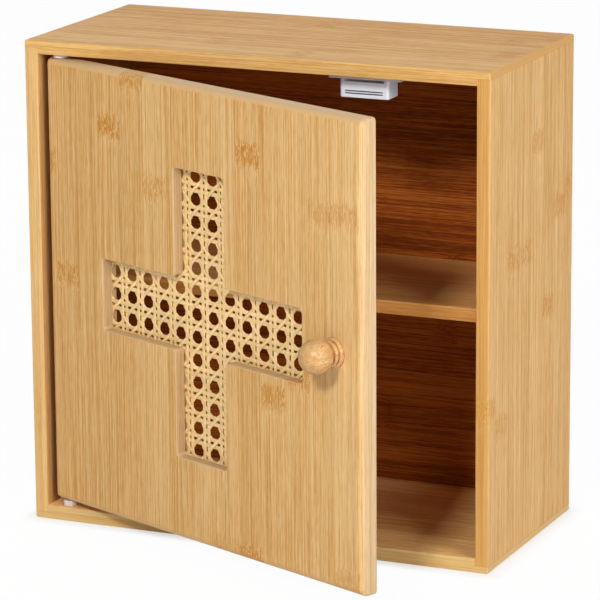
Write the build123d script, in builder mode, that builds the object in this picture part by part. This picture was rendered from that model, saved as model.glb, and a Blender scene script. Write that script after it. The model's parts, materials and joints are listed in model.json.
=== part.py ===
"""Bamboo medicine cabinet with a cane cross in its inset door.

Frame: X to the right, Y to the back, Z up, in millimetres. The origin is at the centre of
the underside. The door is modelled part open, on a plane that turns about the pivot pins.
"""
from build123d import *
import math
import os

os.makedirs("parts", exist_ok=True)

# Driving sizes of the carcass
cabinet_width = 320.0
cabinet_height = 320.0
cabinet_depth = 150.0
board = 9.0
tongue = 4.5  # thickness of the tongue that laps over each end of a side board
corner_round = 1.4
rim_round = 0.9
back_thickness = 6.0
back_lap = 4.0  # how far the back panel reaches into the rebate of each board
fit_gap = 0.2  # play round a panel that lies in a rebate or pocket
trim = 5.0  # how far the outlines that cut out each board stand outside the carcass

# Driving sizes of the shelf
shelf_thickness = 9.0
shelf_underside = 155.5
shelf_setback = 12.0  # from the back of the closed door to the shelf's front edge
shelf_round = 1.0

# Driving sizes of the door
side_gap = 3.6
lower_gap = 4.2
upper_gap = 2.6
door_recess = 1.5  # the closed door's face lies this far behind the cabinet's rim
door_thickness = 11.5
door_front_round = 5.0
door_back_round = 1.0
open_angle = 23.2  # degrees from closed, as modelled
pivot_inset = 9.5  # from the door's hinge edge to the pivot axis

# Driving sizes of the cross and its cane
cross_span = 187.0
cross_arm = 47.0
cross_corner_radius = 2.5
cross_edge_round = 0.9
door_corner_round = 2.5
rebate_corner_radius = 4.0
cane_depth = 7.5  # from the door's face to the cane
cane_thickness = 1.4
rebate_width = 6.0
cane_pitch_x = 15.6
cane_pitch_z = 14.8
cane_hole = 8.2  # across the flats
cane_hole_sides = 8
cane_shift_x = 4.3  # from the middle of the cross to the nearest column of holes
cane_rim = 1.0  # least web between a hole and the sheet's edge

# Driving sizes of the knob and its screw
knob_inset = 24.6  # from the door's free edge to the knob's axis
knob_rise = 2.0  # from the door's mid height to the knob's axis
knob_ball_radius = 10.7
knob_ball_height = 15.6  # from the door's face to the ball's centre
knob_neck_radius = 5.8
knob_base_radius = 9.2
knob_base_height = 3.2
knob_collar_radius = 8.3
knob_collar_height = 2.4
knob_groove_radius = 7.1
knob_groove = 0.7
knob_bead = 0.9  # how far the rim of each ring bulges
knob_screw_radius = 2.0
knob_screw_head_radius = 4.0
knob_screw_head = 2.4
knob_screw_head_round = 1.7
knob_screw_in_knob = 14.0
screw_play = 0.15

# Driving sizes of the pivots
pin_radius = 2.0
pin_in_door = 14.0
running_gap = 0.3  # between the door's end and the bush, and at the strike plate
pin_clearance = 0.05
bush_flange_radius = 4.7
bush_shank_radius = 3.5
bush_shank = 6.0
bush_chamfer = 0.4

# Driving sizes of the magnetic catch
catch_x = 70.3
catch_width = 33.0
catch_depth = 16.5
catch_body_drop = 11.8  # height of the body below its base plate
catch_base = 4.0
catch_ear = 8.0
catch_round = 1.8
catch_edge_round = 0.7
catch_notch_width = 27.0
catch_notch_height = 1.6
catch_notch_depth = 7.0
pole_width = 25.4
pole_thickness = 0.6
pole_depth = 10.0
pole_rise = 3.7  # from the body's underside to the middle of the magnet
pole_proud = 0.3
magnet_thickness = 0.9
magnet_setback = 1.0  # behind the bar between the plates, at the mouth
strike_width = 30.0
strike_height = 11.0
strike_thickness = 1.0
strike_corner = 1.5

# Driving sizes of the hanger plates
hanger_inset = 50.0  # from the cabinet's side to the keyhole's middle
hanger_drop = 42.0  # from the cabinet's top to the keyhole's entry
hanger_width = 16.0
hanger_length = 48.0
hanger_thickness = 1.5
hanger_corner = 3.0
keyhole_entry_radius = 4.75
keyhole_slot_radius = 2.25
keyhole_rise = 9.0
keyhole_pocket = 3.0
pocket_margin = 1.5
hanger_screw_inset = 5.0

# Driving sizes of the fasteners and pegs
dowel_radius = 2.0
dowel_in_side = 12.0
dowel_in_tongue = 2.5
dowel_rows = 3
dowel_pitch = 50.0
shelf_dowel_radius = 3.0
shelf_dowel_in_side = 5.5
shelf_dowel_in_shelf = 13.0
shelf_dowel_pitch = 60.0
glue_gap = 0.05
brad_radius = 0.7
brad_head_radius = 1.3
brad_head = 0.8
brad_length = 16.0
brad_pitch = 95.0
fine_brad_radius = 0.5  # headless, as a brad for thin strips is
fine_brad_length = 7.0
screw_radius = 1.5
screw_head_radius = 2.9
screw_head = 1.4
catch_screw_length = 10.5
hanger_screw_length = 4.6
strike_screw_length = 7.5

# Sizes that follow from the driving ones
opening_width = cabinet_width - 2 * board
opening_height = cabinet_height - 2 * board
front_y = -cabinet_depth / 2
back_y = cabinet_depth / 2
door_width = opening_width - 2 * side_gap
door_height = opening_height - lower_gap - upper_gap
door_bottom = board + lower_gap
pivot_x = -opening_width / 2 + side_gap + pivot_inset
pivot_y = front_y + door_recess + door_thickness / 2
closed_door_back = front_y + door_recess + door_thickness
shelf_front = closed_door_back + shelf_setback
shelf_back = back_y - back_thickness
under_top = cabinet_height - board

front_plane = Plane.XZ.offset(-front_y)
rear_plane = Plane.XZ.offset(-back_y)
open_radians = math.radians(open_angle)
door_plane = Plane(
    origin=(pivot_x, pivot_y, door_bottom),
    x_dir=(math.cos(open_radians), -math.sin(open_radians), 0),
    z_dir=(-math.sin(open_radians), -math.cos(open_radians), 0),
)
door_face = door_plane.offset(door_thickness / 2)
door_rear = door_plane.offset(-door_thickness / 2)
door_mid = (door_width / 2 - pivot_inset, door_height / 2)


def cross_outline(span, arm):
    """Cross with equal arms on the middle of the door, drawn into the current sketch."""
    with Locations(door_mid):
        Rectangle(span, arm)
        Rectangle(arm, span)


def corner_pegs(radius, in_tongue, in_side):
    """Upright pegs across the four corner joints."""
    with BuildPart() as pegs:
        for joint_level, outward in ((tongue, -1), (cabinet_height - tongue, 1)):
            with BuildSketch(Plane.XY.offset(joint_level - outward * in_side)):
                with GridLocations(cabinet_width - board, dowel_pitch, 2, dowel_rows):
                    Circle(radius)
            extrude(amount=outward * (in_side + in_tongue))
    return pegs.part


def shelf_pegs(radius, in_side, in_shelf):
    """Level pegs between the shelf's ends and the side boards."""
    shelf_centre = ((shelf_front + shelf_back) / 2, shelf_underside + shelf_thickness / 2)
    with BuildPart() as pegs:
        for outward in (-1, 1):
            with BuildSketch(Plane.YZ.offset(outward * (opening_width / 2 - in_shelf))):
                with Locations(shelf_centre):
                    with GridLocations(shelf_dowel_pitch, 1, 2, 1):
                        Circle(radius)
            extrude(amount=outward * (in_side + in_shelf))
    return pegs.part


def countersunk_screw(length):
    """Countersunk screw along Z, its flat head at the origin and its shank going up."""
    with BuildPart() as screw:
        with BuildSketch(Plane.XZ):
            with BuildLine():
                Polyline(
                    (0, 0),
                    (screw_head_radius, 0),
                    (screw_radius, screw_head),
                    (screw_radius, length - screw_radius),
                    (0, length),
                    close=True,
                )
            make_face()
        revolve(axis=Axis.Z)
    return screw.part


# Brads driven forward through the back panel's edge into the boards
with BuildPart() as back_brads:
    for radius, reach in ((brad_radius, brad_length), (brad_head_radius, brad_head)):
        with BuildSketch(rear_plane):
            with Locations((0, cabinet_height / 2)):
                with GridLocations(opening_width + back_lap, brad_pitch, 2, 3):
                    Circle(radius)
                with GridLocations(brad_pitch, opening_height + back_lap, 3, 2):
                    Circle(radius)
        extrude(amount=reach)
back_brads.part.label = "back_brads"
export_step(back_brads.part, "parts/back_brads.step")

# Small brads through the cane's retainer: one at each arm's end, one on each of its sides
ring_middle = (cross_arm + rebate_width) / 2
arm_end = (cross_span + rebate_width) / 2
arm_middle = (ring_middle + arm_end) / 2
with BuildPart() as retainer_brads:
    with BuildSketch(door_rear):
        with Locations(door_mid):
            with GridLocations(2 * ring_middle, 2 * arm_middle, 2, 2):
                Circle(fine_brad_radius)
            with GridLocations(2 * arm_middle, 2 * ring_middle, 2, 2):
                Circle(fine_brad_radius)
            with GridLocations(2 * arm_end, 1, 2, 1):
                Circle(fine_brad_radius)
            with GridLocations(1, 2 * arm_end, 1, 2):
                Circle(fine_brad_radius)
    extrude(amount=fine_brad_length)
retainer_brads.part.label = "retainer_brads"
export_step(retainer_brads.part, "parts/retainer_brads.step")

# Screws of the catch, the hanger plates and the strike plate
catch_front = closed_door_back + strike_thickness + running_gap + pole_proud
catch_middle = catch_front + catch_depth / 2
catch_screw = countersunk_screw(catch_screw_length)
with BuildPart() as catch_screws:
    with Locations((catch_x, catch_middle, under_top - catch_base)):
        with GridLocations(catch_width + catch_ear, 1, 2, 1):
            add(catch_screw)
catch_screws.part.label = "catch_screws"
export_step(catch_screws.part, "parts/catch_screws.step")

hanger_level = cabinet_height - hanger_drop
hanger_spacing = cabinet_width - 2 * hanger_inset
hanger_screw_pitch = hanger_length - 2 * hanger_screw_inset
hanger_screw = countersunk_screw(hanger_screw_length)
with BuildPart() as hanger_screws:
    with Locations(rear_plane):
        with Locations((0, hanger_level)):
            with GridLocations(hanger_spacing, hanger_screw_pitch, 2, 2):
                add(hanger_screw)
hanger_screws.part.label = "hanger_screws"
export_step(hanger_screws.part, "parts/hanger_screws.step")

strike_x = catch_x - pivot_x
strike_z = under_top - catch_base - catch_body_drop + pole_rise - door_bottom
strike_face = door_rear.offset(-strike_thickness)
with BuildPart() as strike_screw:
    with Locations(strike_face):
        with Locations((strike_x, strike_z)):
            add(countersunk_screw(strike_screw_length))
strike_screw.part.label = "strike_screw"
export_step(strike_screw.part, "parts/strike_screw.step")

# Carcass in one piece, with its edges rounded over, from which each board is cut
with BuildPart() as carcass_blank:
    with BuildSketch(front_plane):
        with Locations((0, cabinet_height / 2)):
            Rectangle(cabinet_width, cabinet_height)
            Rectangle(opening_width, opening_height, mode=Mode.SUBTRACT)
    extrude(amount=-cabinet_depth)
    middle = (0, 0, cabinet_height / 2)
    outer_corners = carcass_blank.edges().filter_by(Axis.Y).sort_by_distance(middle)[-4:]
    fillet(outer_corners, radius=corner_round)
    front_rim = carcass_blank.faces().sort_by(Axis.Y)[0]
    fillet(front_rim.edges(), radius=rim_round)
    rear_rim = carcass_blank.faces().sort_by(Axis.Y)[-1]
    fillet(rear_rim.outer_wire().edges(), radius=rim_round)
    with BuildSketch(rear_plane):
        with Locations((0, cabinet_height / 2)):
            Rectangle(opening_width + 2 * back_lap, opening_height + 2 * back_lap)
    extrude(amount=back_thickness, mode=Mode.SUBTRACT)
    add(corner_pegs(dowel_radius, dowel_in_tongue, dowel_in_side), mode=Mode.SUBTRACT)
    add(back_brads.part, mode=Mode.SUBTRACT)

# Top and bottom boards, with a tongue at each end and the socket of a pivot bush
for name, outer_level, seat_level, inward in (
    ("top_panel", cabinet_height, under_top, -1),
    ("bottom_panel", 0, board, 1),
):
    with BuildPart() as panel:
        add(carcass_blank.part)
        with BuildSketch(front_plane.offset(trim)):
            with Locations((0, outer_level + inward * (tongue - trim) / 2)):
                Rectangle(cabinet_width + 2 * trim, tongue + trim)
            with Locations((0, outer_level + inward * (cabinet_height / 2 - trim) / 2)):
                Rectangle(opening_width, cabinet_height / 2 + trim)
        extrude(amount=-cabinet_depth - 2 * trim, mode=Mode.INTERSECT)
        with BuildSketch(Plane.XY.offset(seat_level)):
            with Locations((pivot_x, pivot_y)):
                Circle(bush_shank_radius)
        extrude(amount=-inward * (bush_shank + running_gap), mode=Mode.SUBTRACT)
        add(catch_screws.part, mode=Mode.SUBTRACT)
    panel.part.label = name
    export_step(panel.part, f"parts/{name}.step")

# Side boards, which stand between the tongues
shelf_bores = shelf_pegs(shelf_dowel_radius, shelf_dowel_in_side, shelf_dowel_in_shelf)
for name, side in (("left_side_panel", -1), ("right_side_panel", 1)):
    with BuildPart() as side_panel:
        add(carcass_blank.part)
        with BuildSketch(front_plane.offset(trim)):
            with Locations((side * (cabinet_width - board + trim) / 2, cabinet_height / 2)):
                Rectangle(board + trim, cabinet_height - 2 * tongue)
        extrude(amount=-cabinet_depth - 2 * trim, mode=Mode.INTERSECT)
        add(shelf_bores, mode=Mode.SUBTRACT)
    side_panel.part.label = name
    export_step(side_panel.part, f"parts/{name}.step")

with BuildPart() as carcass_dowels:
    add(
        corner_pegs(
            dowel_radius - glue_gap,
            dowel_in_tongue - glue_gap,
            dowel_in_side - glue_gap,
        )
    )
carcass_dowels.part.label = "carcass_dowels"
export_step(carcass_dowels.part, "parts/carcass_dowels.step")

# Shelf between the sides, against the back panel
with BuildPart() as shelf:
    with BuildSketch(Plane.XY.offset(shelf_underside)):
        with Locations((0, (shelf_front + shelf_back) / 2)):
            Rectangle(opening_width, shelf_back - shelf_front)
    extrude(amount=shelf_thickness)
    fillet(shelf.edges().filter_by(Axis.X).group_by(Axis.Y)[0], radius=shelf_round)
    add(shelf_bores, mode=Mode.SUBTRACT)
shelf.part.label = "shelf"
export_step(shelf.part, "parts/shelf.step")

with BuildPart() as shelf_dowels:
    add(
        shelf_pegs(
            shelf_dowel_radius - glue_gap,
            shelf_dowel_in_side - glue_gap,
            shelf_dowel_in_shelf - glue_gap,
        )
    )
shelf_dowels.part.label = "shelf_dowels"
export_step(shelf_dowels.part, "parts/shelf_dowels.step")

# Keyhole plates, let in flush with the back panel
for name, side in (("left_hanger_plate", -1), ("right_hanger_plate", 1)):
    with BuildPart() as hanger_plate:
        with BuildSketch(rear_plane):
            with Locations((side * hanger_spacing / 2, hanger_level)):
                RectangleRounded(hanger_width, hanger_length, hanger_corner)
                Circle(keyhole_entry_radius, mode=Mode.SUBTRACT)
                with Locations((0, keyhole_rise / 2)):
                    Rectangle(2 * keyhole_slot_radius, keyhole_rise, mode=Mode.SUBTRACT)
                with Locations((0, keyhole_rise)):
                    Circle(keyhole_slot_radius, mode=Mode.SUBTRACT)
        extrude(amount=hanger_thickness)
        add(hanger_screws.part, mode=Mode.SUBTRACT)
    hanger_plate.part.label = name
    export_step(hanger_plate.part, f"parts/{name}.step")

# Back panel in its rebate, with a pocket behind each keyhole for the head of a wall screw
with BuildPart() as back_panel:
    with BuildSketch(rear_plane):
        with Locations((0, cabinet_height / 2)):
            reach = 2 * (back_lap - fit_gap)
            Rectangle(opening_width + reach, opening_height + reach)
    extrude(amount=back_thickness)
    with BuildSketch(rear_plane):
        with Locations((0, hanger_level)):
            with GridLocations(hanger_spacing, 1, 2, 1):
                RectangleRounded(
                    hanger_width + 2 * fit_gap,
                    hanger_length + 2 * fit_gap,
                    hanger_corner + fit_gap,
                )
    extrude(amount=hanger_thickness, mode=Mode.SUBTRACT)
    with BuildSketch(rear_plane.offset(hanger_thickness)):
        with Locations((0, hanger_level + keyhole_rise / 2)):
            with GridLocations(hanger_spacing, 1, 2, 1):
                pocket_radius = keyhole_entry_radius + pocket_margin
                SlotCenterToCenter(keyhole_rise, 2 * pocket_radius, rotation=90)
    extrude(amount=keyhole_pocket, mode=Mode.SUBTRACT)
    add(hanger_screws.part, mode=Mode.SUBTRACT)
    add(back_brads.part, mode=Mode.SUBTRACT)
back_panel.part.label = "back_panel"
export_step(back_panel.part, "parts/back_panel.step")

# Door panel with its cross, and a rebate behind the cross for the cane
knob_centre = (door_width - knob_inset - pivot_inset, door_height / 2 + knob_rise)
door_axis = Axis(door_plane.origin, door_plane.z_dir)
with BuildPart() as door_panel:
    with BuildSketch(door_face):
        with Locations(door_mid):
            RectangleRounded(door_width, door_height, door_corner_round)
    extrude(amount=-door_thickness)
    fillet(door_panel.faces().sort_by(door_axis)[-1].edges(), radius=door_front_round)
    fillet(door_panel.faces().sort_by(door_axis)[0].edges(), radius=door_back_round)
    with BuildSketch(door_face) as cross_sketch:
        cross_outline(cross_span, cross_arm)
        fillet(cross_sketch.vertices(), radius=cross_corner_radius)
    extrude(amount=-door_thickness, mode=Mode.SUBTRACT)
    cross_edge = door_panel.faces().sort_by(door_axis)[-1].inner_wires()[0]
    fillet(cross_edge.edges(), radius=cross_edge_round)
    with BuildSketch(door_rear) as rebate_sketch:
        cross_outline(cross_span + 2 * rebate_width, cross_arm + 2 * rebate_width)
        fillet(rebate_sketch.vertices(), radius=rebate_corner_radius)
    extrude(amount=door_thickness - cane_depth, mode=Mode.SUBTRACT)
    with BuildSketch(door_face):
        with Locations(knob_centre):
            Circle(knob_screw_radius + screw_play)
    extrude(amount=-door_thickness, mode=Mode.SUBTRACT)
    for end_level, inward in ((door_bottom, 1), (door_bottom + door_height, -1)):
        with BuildSketch(Plane.XY.offset(end_level)):
            with Locations((pivot_x, pivot_y)):
                Circle(pin_radius)
        extrude(amount=inward * pin_in_door, mode=Mode.SUBTRACT)
    add(retainer_brads.part, mode=Mode.SUBTRACT)
    add(strike_screw.part, mode=Mode.SUBTRACT)
door_panel.part.label = "door_panel"
export_step(door_panel.part, "parts/door_panel.step")


def hole_fits(x, z):
    """True where a whole hole lies inside the cross-shaped sheet, with its rim."""
    edge = rebate_width - fit_gap - cane_rim - cane_hole / 2
    along = cross_span / 2 + edge
    across = cross_arm / 2 + edge
    in_level_arm = abs(x) <= along and abs(z) <= across
    in_upright_arm = abs(x) <= across and abs(z) <= along
    return in_level_arm or in_upright_arm


# Cane webbing: one sheet with its eight-sided openings on a grid
columns = math.ceil(cross_span / 2 / cane_pitch_x)
rows = math.ceil(cross_span / 2 / cane_pitch_z)
hole_centres = [
    (door_mid[0] + x, door_mid[1] + z)
    for x in [cane_shift_x + cane_pitch_x * i for i in range(-columns, columns + 1)]
    for z in [cane_pitch_z * j for j in range(-rows, rows + 1)]
    if hole_fits(x, z)
]
sheet_growth = 2 * (rebate_width - fit_gap)
with BuildPart() as cane_webbing:
    with BuildSketch(door_face.offset(-cane_depth)) as sheet_sketch:
        cross_outline(cross_span + sheet_growth, cross_arm + sheet_growth)
        fillet(sheet_sketch.vertices(), radius=rebate_corner_radius)
        with Locations(hole_centres):
            RegularPolygon(
                cane_hole / 2,
                cane_hole_sides,
                major_radius=False,
                rotation=180 / cane_hole_sides,
                mode=Mode.SUBTRACT,
            )
    extrude(amount=-cane_thickness)
    add(retainer_brads.part, mode=Mode.SUBTRACT)
cane_webbing.part.label = "cane_webbing"
export_step(cane_webbing.part, "parts/cane_webbing.step")

# Frame that clamps the cane into the rebate, flush with the door's back
with BuildPart() as cane_retainer:
    with BuildSketch(door_rear) as ring_sketch:
        cross_outline(cross_span + sheet_growth, cross_arm + sheet_growth)
        fillet(ring_sketch.vertices(), radius=rebate_corner_radius)
    extrude(amount=door_thickness - cane_depth - cane_thickness)
    with BuildSketch(door_rear) as window_sketch:
        cross_outline(cross_span, cross_arm)
        fillet(window_sketch.vertices(), radius=cross_corner_radius)
    extrude(amount=door_thickness, mode=Mode.SUBTRACT)
    add(retainer_brads.part, mode=Mode.SUBTRACT)
cane_retainer.part.label = "cane_retainer"
export_step(cane_retainer.part, "parts/cane_retainer.step")

# Turned knob: base ring, collar, neck and ball, in a half section beside its axis
knob_foot = Plane(
    origin=door_face.from_local_coords((knob_centre[0], knob_centre[1], 0)),
    x_dir=door_plane.x_dir,
    z_dir=(0, 0, -1),
)
knob_axis = Axis(knob_foot.origin, door_plane.z_dir)
collar_foot = knob_base_height + knob_groove
collar_top = collar_foot + knob_collar_height
neck_reach = math.sqrt(knob_ball_radius**2 - knob_neck_radius**2)
with BuildPart() as knob:
    with BuildSketch(knob_foot):
        with BuildLine():
            Line((0, 0), (knob_base_radius - knob_bead, 0))
            ThreePointArc(
                (knob_base_radius - knob_bead, 0),
                (knob_base_radius, knob_base_height / 2),
                (knob_base_radius - knob_bead, knob_base_height),
            )
            Polyline(
                (knob_base_radius - knob_bead, knob_base_height),
                (knob_groove_radius, knob_base_height),
                (knob_groove_radius, collar_foot),
                (knob_collar_radius - knob_bead, collar_foot),
            )
            ThreePointArc(
                (knob_collar_radius - knob_bead, collar_foot),
                (knob_collar_radius, (collar_foot + collar_top) / 2),
                (knob_collar_radius - knob_bead, collar_top),
            )
            Polyline(
                (knob_collar_radius - knob_bead, collar_top),
                (knob_neck_radius, collar_top),
                (knob_neck_radius, knob_ball_height - neck_reach),
            )
            ThreePointArc(
                (knob_neck_radius, knob_ball_height - neck_reach),
                (knob_ball_radius, knob_ball_height),
                (0, knob_ball_height + knob_ball_radius),
            )
            Line((0, knob_ball_height + knob_ball_radius), (0, 0))
        make_face()
    revolve(axis=knob_axis)
    with BuildSketch(door_face):
        with Locations(knob_centre):
            Circle(knob_screw_radius)
    extrude(amount=knob_screw_in_knob, mode=Mode.SUBTRACT)
knob.part.label = "knob"
export_step(knob.part, "parts/knob.step")

# Round-headed screw through the door into the knob
with BuildPart() as knob_screw:
    with BuildSketch(door_rear):
        with Locations(knob_centre):
            Circle(knob_screw_radius)
    extrude(amount=door_thickness + knob_screw_in_knob - screw_play)
    with BuildSketch(door_rear):
        with Locations(knob_centre):
            Circle(knob_screw_head_radius)
    extrude(amount=-knob_screw_head)
    fillet(knob_screw.faces().sort_by(door_axis)[0].edges(), radius=knob_screw_head_round)
knob_screw.part.label = "knob_screw"
export_step(knob_screw.part, "parts/knob_screw.step")

# Pivot bushes in the boards and the pins that turn in them, at both ends of the door
for end, seat_level, inward, end_gap in (
    ("lower", board, 1, lower_gap),
    ("upper", under_top, -1, upper_gap),
):
    with BuildPart() as pivot_bush:
        with BuildSketch(Plane.XY.offset(seat_level)):
            with Locations((pivot_x, pivot_y)):
                Circle(bush_flange_radius)
        extrude(amount=inward * (end_gap - running_gap))
        chamfer(pivot_bush.edges().filter_by(GeomType.CIRCLE), length=bush_chamfer)
        with BuildSketch(Plane.XY.offset(seat_level)):
            with Locations((pivot_x, pivot_y)):
                Circle(bush_shank_radius)
        extrude(amount=-inward * bush_shank)
        with BuildSketch(Plane.XY.offset(seat_level - inward * bush_shank)):
            with Locations((pivot_x, pivot_y)):
                Circle(pin_radius + pin_clearance)
        extrude(amount=inward * (bush_shank + end_gap), mode=Mode.SUBTRACT)
    pivot_bush.part.label = f"{end}_pivot_bush"
    export_step(pivot_bush.part, f"parts/{end}_pivot_bush.step")
    with BuildPart() as pivot_pin:
        with BuildSketch(Plane.XY.offset(seat_level - inward * bush_shank)):
            with Locations((pivot_x, pivot_y)):
                Circle(pin_radius)
        extrude(amount=inward * (bush_shank + end_gap + pin_in_door))
    pivot_pin.part.label = f"{end}_pivot_pin"
    export_step(pivot_pin.part, f"parts/{end}_pivot_pin.step")

# Magnetic catch under the top board, its mouth facing the back of the closed door
body_top = under_top - catch_base
body_underside = body_top - catch_body_drop
magnet_level = body_underside + pole_rise
catch_face = Plane.XZ.offset(-catch_front)
with BuildPart() as catch_housing:
    with BuildSketch(Plane.XY.offset(under_top)):
        with Locations((catch_x, catch_middle)):
            RectangleRounded(catch_width + 2 * catch_ear, catch_depth, catch_round)
    extrude(amount=-catch_base)
    with BuildSketch(Plane.XY.offset(body_top)):
        with Locations((catch_x, catch_middle)):
            RectangleRounded(catch_width, catch_depth, catch_round)
    extrude(amount=-catch_body_drop)
    fillet(catch_housing.faces().sort_by(Axis.Z)[0].edges(), radius=catch_edge_round)
    with BuildSketch(catch_face):
        with Locations((catch_x, body_top - catch_notch_height / 2)):
            Rectangle(catch_notch_width, catch_notch_height)
    extrude(amount=-catch_notch_depth, mode=Mode.SUBTRACT)
    with BuildSketch(catch_face):
        with Locations((catch_x, magnet_level)):
            Rectangle(pole_width, magnet_thickness + 2 * pole_thickness)
    extrude(amount=-pole_depth, mode=Mode.SUBTRACT)
    with BuildSketch(catch_face):
        with Locations((catch_x, magnet_level)):
            Rectangle(pole_width, magnet_thickness)
    extrude(amount=-magnet_setback)
    add(catch_screws.part, mode=Mode.SUBTRACT)
catch_housing.part.label = "catch_housing"
export_step(catch_housing.part, "parts/catch_housing.step")

with BuildPart() as catch_magnet:
    with BuildSketch(catch_face.offset(-magnet_setback)):
        with Locations((catch_x, magnet_level)):
            Rectangle(pole_width, magnet_thickness)
    extrude(amount=magnet_setback - pole_depth)
catch_magnet.part.label = "catch_magnet"
export_step(catch_magnet.part, "parts/catch_magnet.step")

for name, side in (("upper_pole_plate", 1), ("lower_pole_plate", -1)):
    with BuildPart() as pole_plate:
        with BuildSketch(catch_face.offset(pole_proud)):
            with Locations((catch_x, magnet_level + side * (magnet_thickness + pole_thickness) / 2)):
                Rectangle(pole_width, pole_thickness)
        extrude(amount=-pole_depth - pole_proud)
    pole_plate.part.label = name
    export_step(pole_plate.part, f"parts/{name}.step")

# Strike plate on the door's back, which meets the catch when the door is shut
with BuildPart() as strike_plate:
    with BuildSketch(door_rear):
        with Locations((strike_x, strike_z)):
            RectangleRounded(strike_width, strike_height, strike_corner)
    extrude(amount=-strike_thickness)
    add(strike_screw.part, mode=Mode.SUBTRACT)
strike_plate.part.label = "strike_plate"
export_step(strike_plate.part, "parts/strike_plate.step")
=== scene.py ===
"""The looks of a bamboo medicine cabinet, laid out as an add-on and run as a script.

Lengths are in metres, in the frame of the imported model: X to the right, Y to the wall, Z up.
"""
import json
import math
import random

import bmesh
import bpy
from bpy.props import FloatProperty, FloatVectorProperty, PointerProperty
from mathutils import Euler, Matrix, Vector


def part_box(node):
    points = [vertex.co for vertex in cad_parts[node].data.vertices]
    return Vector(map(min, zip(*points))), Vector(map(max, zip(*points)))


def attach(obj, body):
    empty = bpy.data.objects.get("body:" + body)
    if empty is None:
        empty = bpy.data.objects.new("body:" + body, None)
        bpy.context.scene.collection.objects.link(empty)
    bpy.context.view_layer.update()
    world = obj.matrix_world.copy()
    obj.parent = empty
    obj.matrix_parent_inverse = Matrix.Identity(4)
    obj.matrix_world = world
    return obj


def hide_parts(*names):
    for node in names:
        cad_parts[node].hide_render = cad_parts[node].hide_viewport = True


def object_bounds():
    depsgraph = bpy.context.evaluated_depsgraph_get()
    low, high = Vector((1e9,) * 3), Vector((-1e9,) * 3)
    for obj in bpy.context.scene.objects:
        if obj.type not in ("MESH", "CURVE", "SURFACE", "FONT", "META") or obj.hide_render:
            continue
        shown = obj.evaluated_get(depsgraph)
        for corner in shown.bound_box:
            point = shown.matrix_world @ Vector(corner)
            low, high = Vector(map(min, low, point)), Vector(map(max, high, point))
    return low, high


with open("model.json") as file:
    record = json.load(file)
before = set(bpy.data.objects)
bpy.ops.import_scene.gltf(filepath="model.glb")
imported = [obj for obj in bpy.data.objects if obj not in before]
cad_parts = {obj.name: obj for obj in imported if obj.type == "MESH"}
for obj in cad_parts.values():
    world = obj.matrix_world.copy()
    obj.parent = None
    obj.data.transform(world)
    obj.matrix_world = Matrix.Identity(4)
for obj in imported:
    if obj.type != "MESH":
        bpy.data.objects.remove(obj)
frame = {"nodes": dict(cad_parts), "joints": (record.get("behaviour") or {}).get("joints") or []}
cad_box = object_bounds()

bl_info = {
    "name": "Bamboo medicine cabinet",
    "version": (1, 0, 0),
    "blender": (4, 5, 0),
    "location": "3D View > Sidebar > Cabinet",
    "description": "Finishes the cabinet with bamboo, woven cane, plastic and plated steel",
    "category": "Object",
}

MM = 0.001

# The door's own frame: X across it from the hinge axis, Y towards its back, Z up
door_hinge = next(joint for joint in frame["joints"] if joint["name"] == "door_hinge")
open_angle = math.radians(-door_hinge["range_deg"][0])
door_foot = Vector(door_hinge["pos_m"])
door_foot.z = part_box("door_panel")[0].z
door_turn = Matrix.Rotation(-open_angle, 4, "Z")
door_frame = Matrix.Translation(door_foot) @ door_turn


def srgb(red, green, blue):
    """Linear colour of a display colour given in steps of 0 to 255."""
    shares = (step / 255 for step in (red, green, blue))
    return tuple(s / 12.92 if s <= 0.04045 else ((s + 0.055) / 1.055) ** 2.4 for s in shares)


def door_corners(node):
    """Lowest and highest corner of a CAD node in the door's own frame."""
    to_door = door_frame.inverted()
    places = [to_door @ vertex.co for vertex in frame["nodes"][node].data.vertices]
    low = Vector([min(place[axis] for place in places) for axis in range(3)])
    high = Vector([max(place[axis] for place in places) for axis in range(3)])
    return low, high


door_low, door_high = door_corners("door_panel")


def colour_setting(name, description, default):
    """A colour that a user can change."""
    return FloatVectorProperty(
        name=name, description=description, subtype="COLOR", default=default
    )


def length_setting(name, description, millimetres):
    """A length that a user can change."""
    return FloatProperty(
        name=name, description=description, unit="LENGTH", default=millimetres * MM
    )


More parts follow.
